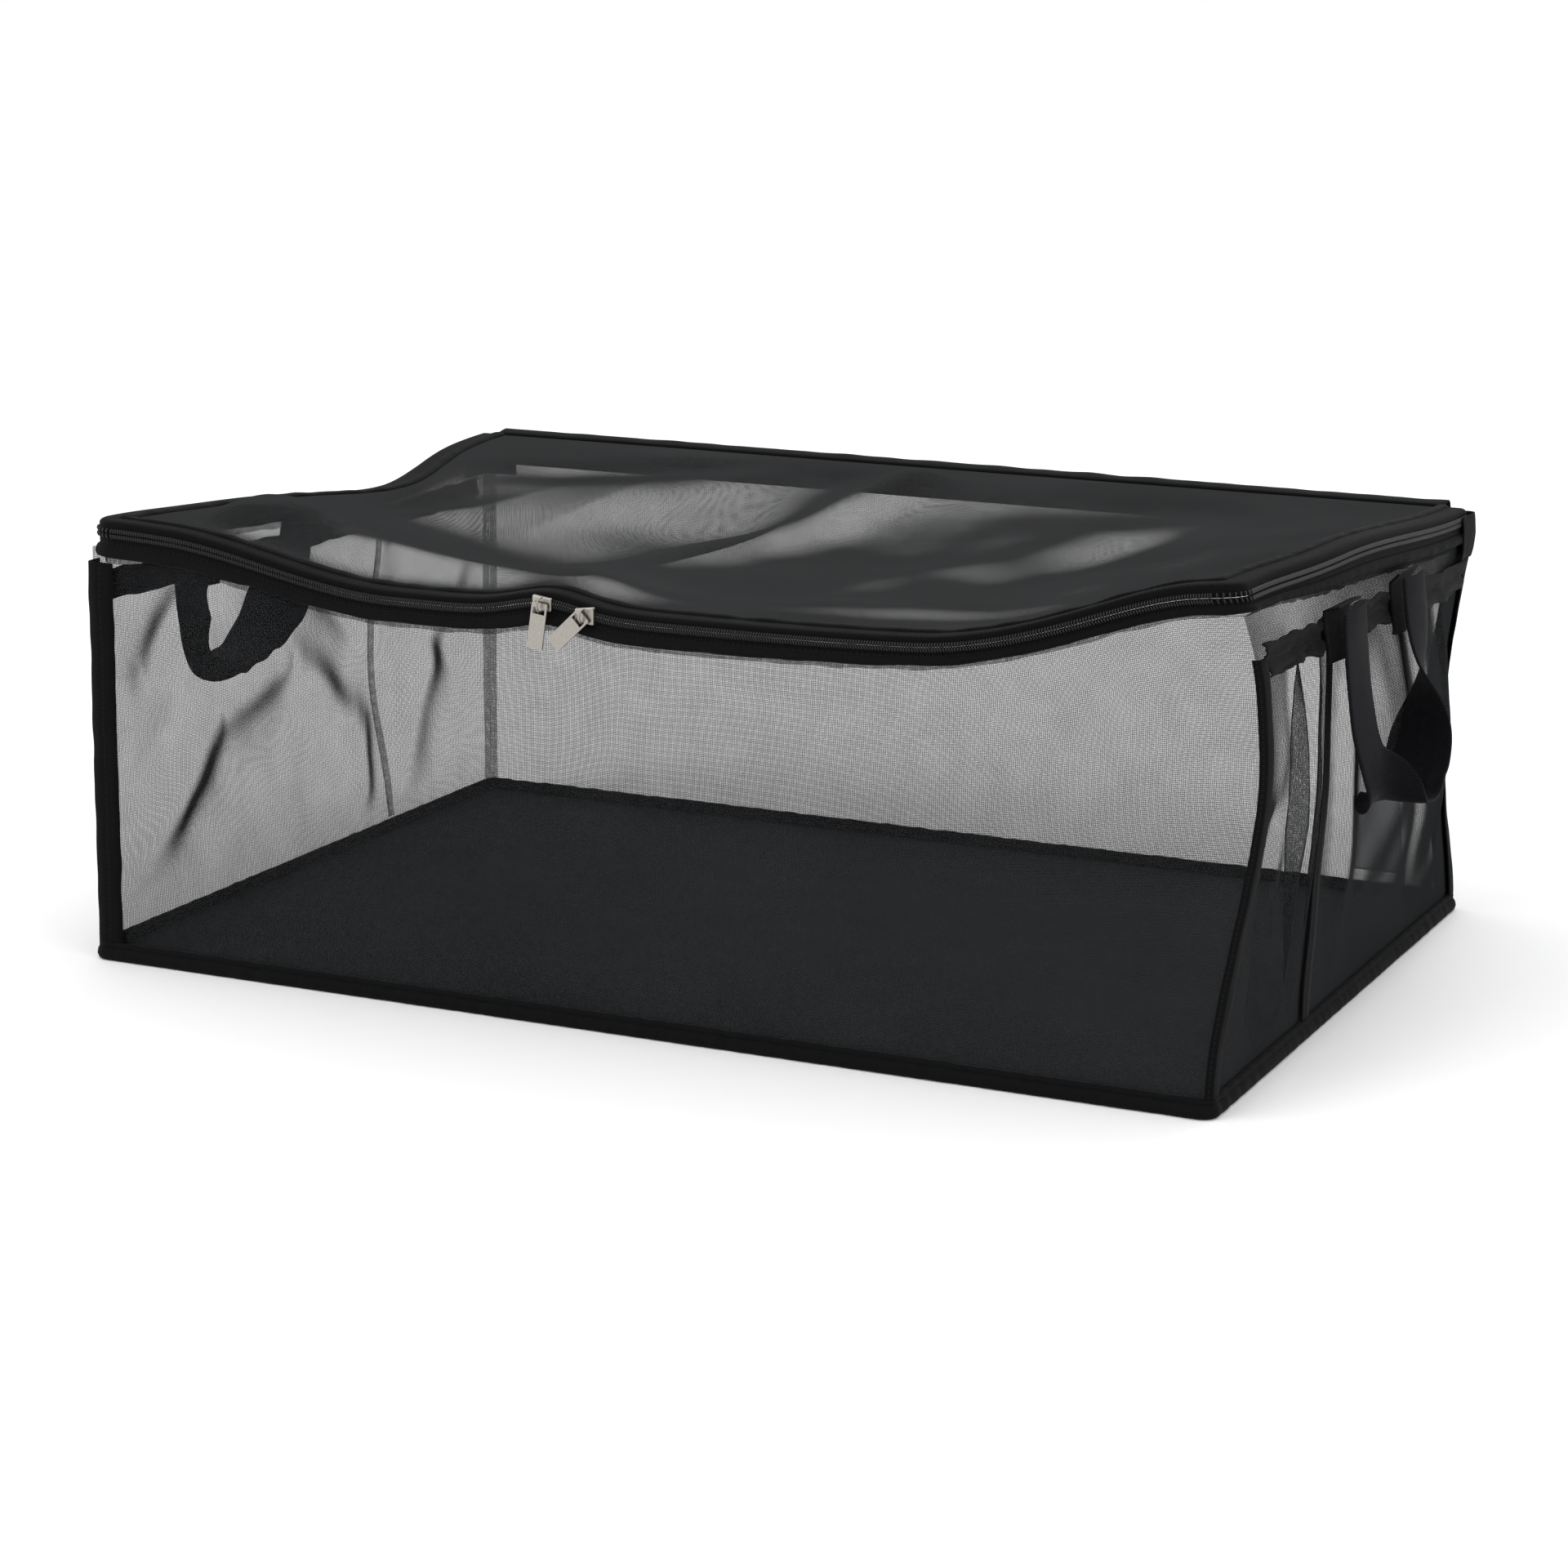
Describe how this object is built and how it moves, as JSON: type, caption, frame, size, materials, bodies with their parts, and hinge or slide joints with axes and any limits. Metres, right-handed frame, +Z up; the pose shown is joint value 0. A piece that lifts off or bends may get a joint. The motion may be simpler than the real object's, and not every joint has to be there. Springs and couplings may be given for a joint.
{
  "type": "under bed storage bag",
  "caption": "Low rectangular storage bag with see-through mesh walls, a woven bottom, a zipped mesh lid hinged at the back and webbing loop handles on both ends.",
  "frame": {"origin": "middle of the rectangular underside, on the surface the bag stands on", "axes": "+X along the zipped front from left to right, +Y from the front to the hinged back, +Z up"},
  "size_m": [0.7616, 0.4675, 0.2556],
  "materials": {
    "mesh_cloth": "sheer knitted mesh",
    "woven_cloth": "matte twill",
    "black_tape": "matte",
    "black_webbing": "woven, matte",
    "black_nylon": "satin",
    "silver_metal": "polished",
    "white_label": "satin"
  },
  "bodies": {
    "bag": {"bottom_panel": "woven_cloth", "base_binding": "black_tape", "front_mesh_wall": "mesh_cloth", "back_mesh_wall": "mesh_cloth", "left_mesh_wall": "mesh_cloth", "right_mesh_wall": "mesh_cloth", "corner_tape_front_left": "black_tape", "corner_tape_front_right": "black_tape", "corner_tape_back_left": "black_tape", "corner_tape_back_right": "black_tape", "left_seam_tape": "black_tape", "right_seam_tape": "black_tape", "left_handle_band": "black_tape", "right_handle_band": "black_tape", "care_label": "white_label", "body_rim_binding": "black_tape", "body_zip_tape": "black_nylon", "body_zip_coil": "black_nylon", "hinge_binding": "black_tape", "left_zip_end_tab": "black_tape", "right_zip_end_tab": "black_tape", "left_handle_front_end": "black_webbing", "left_handle_rear_end": "black_webbing", "right_handle_front_end": "black_webbing", "right_handle_rear_end": "black_webbing"},
    "lid": {"lid_mesh_panel": "mesh_cloth", "lid_edge_binding": "black_tape", "lid_zip_tape": "black_nylon", "lid_zip_coil": "black_nylon", "lid_back_binding": "black_tape"},
    "left_slider": {"left_slider_body": "silver_metal", "left_slider_bridge": "silver_metal"},
    "left_pull_tab": {"left_pull_tab": "silver_metal"},
    "right_slider": {"right_slider_body": "silver_metal", "right_slider_bridge": "silver_metal"},
    "right_pull_tab": {"right_pull_tab": "silver_metal"},
    "left_handle": {"left_handle": "black_webbing"},
    "right_handle": {"right_handle": "black_webbing"}
  },
  "joints": [
    {"name": "lid_hinge", "type": "hinge", "parent": "bag", "child": "lid", "pos_m": [0, 0.2265, 0.2375], "axis": [-1, 0, 0], "range_deg": [0, 200]},
    {"name": "left_slider_slide", "type": "slide", "parent": "lid", "child": "left_slider", "axis": [-0.9985, 0, -0.0549], "range_m": [0, 0.085]},
    {"name": "left_pull_tab_swing", "type": "hinge", "parent": "left_slider", "child": "left_pull_tab", "pos_m": [-0.0435, -0.22968, 0.22519], "axis": [-0.9903, 0, 0.1392], "range_deg": [0, 150]},
    {"name": "right_slider_slide", "type": "slide", "parent": "lid", "child": "right_slider", "axis": [0.9999, 0, -0.012], "range_m": [0, 0.12]},
    {"name": "right_pull_tab_swing", "type": "hinge", "parent": "right_slider", "child": "right_pull_tab", "pos_m": [-0.019, -0.22965, 0.22139], "axis": [-0.6947, 0, 0.7193], "range_deg": [0, 150]},
    {"name": "left_handle_swing", "type": "hinge", "parent": "bag", "child": "left_handle", "pos_m": [-0.33182, -0.0475, 0.21593], "axis": [0, 1, 0], "range_deg": [0, 150]},
    {"name": "right_handle_swing", "type": "hinge", "parent": "bag", "child": "right_handle", "pos_m": [0.33179, 0.00731, 0.22671], "axis": [0, -1, 0], "range_deg": [0, 150]}
  ]
}
